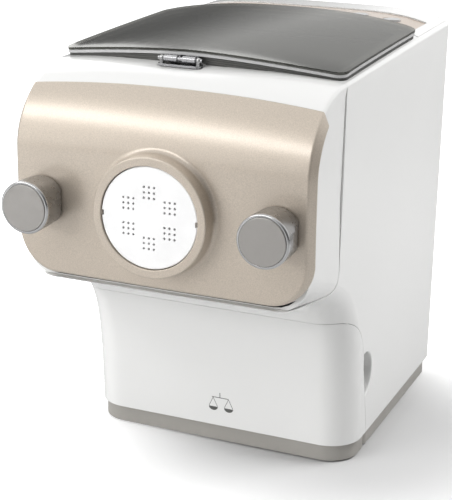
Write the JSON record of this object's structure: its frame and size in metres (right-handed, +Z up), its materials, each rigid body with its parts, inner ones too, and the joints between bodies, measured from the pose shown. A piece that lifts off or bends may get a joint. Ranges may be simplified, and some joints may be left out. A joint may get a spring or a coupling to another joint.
{
  "type": "electric pasta maker",
  "caption": "Countertop electric pasta maker with a clear hinged lid over a mixing chamber, a removable front extruder panel clamped by knobs, top control deck and a storage drawer.",
  "frame": {"origin": "centre of the footprint of the whole object, on the surface it stands on", "axes": "+Z up, -Y out of the front panel, +X to the right seen from the front"},
  "size_m": [0.215, 0.343, 0.3146],
  "materials": {
    "white_housing": "gloss moulded",
    "grey_plinth": "fine matt",
    "champagne_panel": "satin metallic paint",
    "disc_white": "satin",
    "knob_chrome": "bright bevel",
    "knob_satin": "satin spun",
    "brass_insert": "turned",
    "lid_smoke": "smoke-tinted clear plastic",
    "lid_silver": "satin silver",
    "steel": "plated",
    "frame_steel": "zinc grey",
    "chamber_plastic": "satin",
    "rubber_dark": "matt",
    "gasket_grey": "ribbed",
    "tube_metal": "machined",
    "gear_plastic": "moulded",
    "gearcase_grey": "die cast",
    "motor_steel": "painted",
    "copper_rotor": "wound",
    "black_plastic": "matt",
    "board_green": "lacquered",
    "deck_panel": "satin metallic paint",
    "display_black": "gloss",
    "button_grey": "satin",
    "drawer_white": "satin"
  },
  "bodies": {
    "housing": {"base_plate": "grey_plinth", "plinth": "grey_plinth", "feet": "rubber_dark", "load_cells": "tube_metal", "housing_screws": "steel", "main_housing": "white_housing", "head_housing": "white_housing", "top_deck": "white_housing", "rear_cover": "white_housing", "chassis": "frame_steel", "panel_studs": "steel", "mixing_chamber": "chamber_plastic", "chamber_gasket": "gasket_grey", "shaft_seal": "rubber_dark", "extrusion_tube": "tube_metal", "tube_seal": "rubber_dark", "gearbox_housing": "gearcase_grey", "gearbox_cover": "gearcase_grey", "gearbox_screws": "steel", "gear_bearings": "steel", "motor_can": "motor_steel", "motor_end_cap": "motor_steel", "control_panel": "deck_panel", "display_window": "display_black", "control_board": "board_green", "power_board": "board_green", "power_inlet": "black_plastic", "drawer_rails": "drawer_white", "hinge_bracket": "steel", "hinge_pin": "steel", "lid_switch": "black_plastic"},
    "lid": {"lid_shell": "lid_smoke", "lid_rim": "lid_silver", "lid_skirt": "lid_silver", "hinge_leaf": "steel"},
    "panel": {"front_panel": "champagne_panel", "shaping_disc": "disc_white"},
    "knob_left": {"left_knob": "knob_chrome", "left_knob_cap": "knob_satin", "left_knob_insert": "brass_insert"},
    "knob_right": {"right_knob": "knob_chrome", "right_knob_cap": "knob_satin", "right_knob_insert": "brass_insert"},
    "drawer": {"drawer_front": "white_housing", "drawer_plinth": "grey_plinth", "drawer_tray": "drawer_white", "stored_discs": "disc_white"},
    "drive": {"drive_shaft": "steel", "output_gear": "gear_plastic", "mixing_paddle": "tube_metal", "extruder_screw": "tube_metal"},
    "cluster": {"cluster_shaft": "steel", "cluster_gear": "gear_plastic"},
    "motor_rotor": {"rotor": "copper_rotor", "motor_pinion": "brass_insert", "cooling_fan": "black_plastic"},
    "power_key": {"power_button": "button_grey"},
    "start_key": {"start_button": "button_grey"},
    "programme_key": {"programme_button": "button_grey"},
    "flour_key": {"flour_button": "button_grey"}
  },
  "joints": [
    {"name": "lid_hinge", "type": "hinge", "parent": "housing", "child": "lid", "pos_m": [0, -0.0967, 0.3008], "axis": [1, 0, 0], "range_deg": [0, 90]},
    {"name": "panel_slide", "type": "slide", "parent": "housing", "child": "panel", "axis": [0, -1, 0], "range_m": [0, 0.06]},
    {"name": "left_knob_turn", "type": "hinge", "parent": "panel", "child": "knob_left", "pos_m": [-0.0842, -0.1582, 0.2072], "axis": [0, -1, 0], "range_deg": [0, 720]},
    {"name": "right_knob_turn", "type": "hinge", "parent": "panel", "child": "knob_right", "pos_m": [0.0842, -0.1582, 0.2072], "axis": [0, -1, 0], "range_deg": [0, 720]},
    {"name": "drawer_slide", "type": "slide", "parent": "housing", "child": "drawer", "axis": [0, -1, 0], "range_m": [0, 0.07]},
    {"name": "drive_spin", "type": "hinge", "parent": "housing", "child": "drive", "pos_m": [0, 0.0068, 0.2076], "axis": [0, -1, 0], "continuous": true},
    {"name": "cluster_spin", "type": "hinge", "parent": "housing", "child": "cluster", "pos_m": [0, 0.1168, 0.1376], "axis": [0, -1, 0], "continuous": true},
    {"name": "rotor_spin", "type": "hinge", "parent": "housing", "child": "motor_rotor", "pos_m": [0, 0.0668, 0.0926], "axis": [0, -1, 0], "continuous": true},
    {"name": "power_press", "type": "slide", "parent": "housing", "child": "power_key", "axis": [0, 0, -1], "range_m": [0, 0.001], "stiffness_N_per_m": 800},
    {"name": "start_press", "type": "slide", "parent": "housing", "child": "start_key", "axis": [0, 0, -1], "range_m": [0, 0.001], "stiffness_N_per_m": 800},
    {"name": "programme_press", "type": "slide", "parent": "housing", "child": "programme_key", "axis": [0, 0, -1], "range_m": [0, 0.001], "stiffness_N_per_m": 800},
    {"name": "flour_press", "type": "slide", "parent": "housing", "child": "flour_key", "axis": [0, 0, -1], "range_m": [0, 0.001], "stiffness_N_per_m": 800}
  ],
  "couplings": [
    {"joint": "cluster_spin", "follows": "drive_spin", "ratio": -4},
    {"joint": "rotor_spin", "follows": "drive_spin", "ratio": 20}
  ]
}
